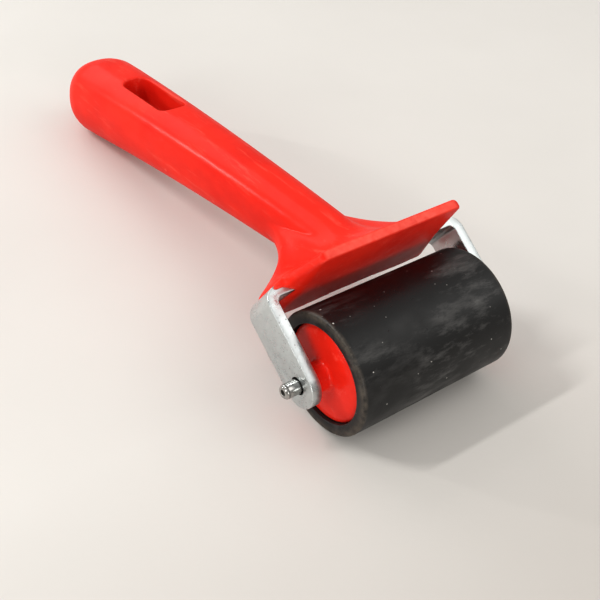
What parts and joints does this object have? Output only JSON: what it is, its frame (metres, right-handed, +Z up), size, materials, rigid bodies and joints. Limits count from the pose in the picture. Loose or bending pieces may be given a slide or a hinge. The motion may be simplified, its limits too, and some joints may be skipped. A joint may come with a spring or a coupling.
{
  "type": "rubber brayer",
  "caption": "Hand roller for ink: rubber-covered roller on an axle pin between the arms of a bent steel strap, with a moulded handle, hang slot and upright rest plate.",
  "frame": {"origin": "centre of the bounding box on the surface it lies on", "axes": "+X along the roller, +Y towards the end of the handle, +Z up from the surface it lies on"},
  "size_m": [0.0748, 0.188, 0.0485],
  "materials": {
    "handle_plastic": "glossy moulded red plastic with a faint ripple",
    "zinc_strap": "bright zinc plate, satin and slightly mottled",
    "pin_steel": "bright turned steel",
    "core_plastic": "plain red plastic",
    "hub_plastic": "glossy moulded red plastic",
    "roller_rubber": "ground black rubber, soft satin, with light scuffs and dust"
  },
  "bodies": {
    "handle_and_frame": {"handle": "handle_plastic", "frame": "zinc_strap"},
    "roller": {"axle": "pin_steel", "core_tube": "core_plastic", "left_hub": "hub_plastic", "right_hub": "hub_plastic", "rubber_sleeve": "roller_rubber"}
  },
  "joints": [
    {"name": "roller_spin", "type": "hinge", "parent": "handle_and_frame", "child": "roller", "pos_m": [0, -0.077, 0.017], "axis": [1, 0, 0], "continuous": true}
  ]
}
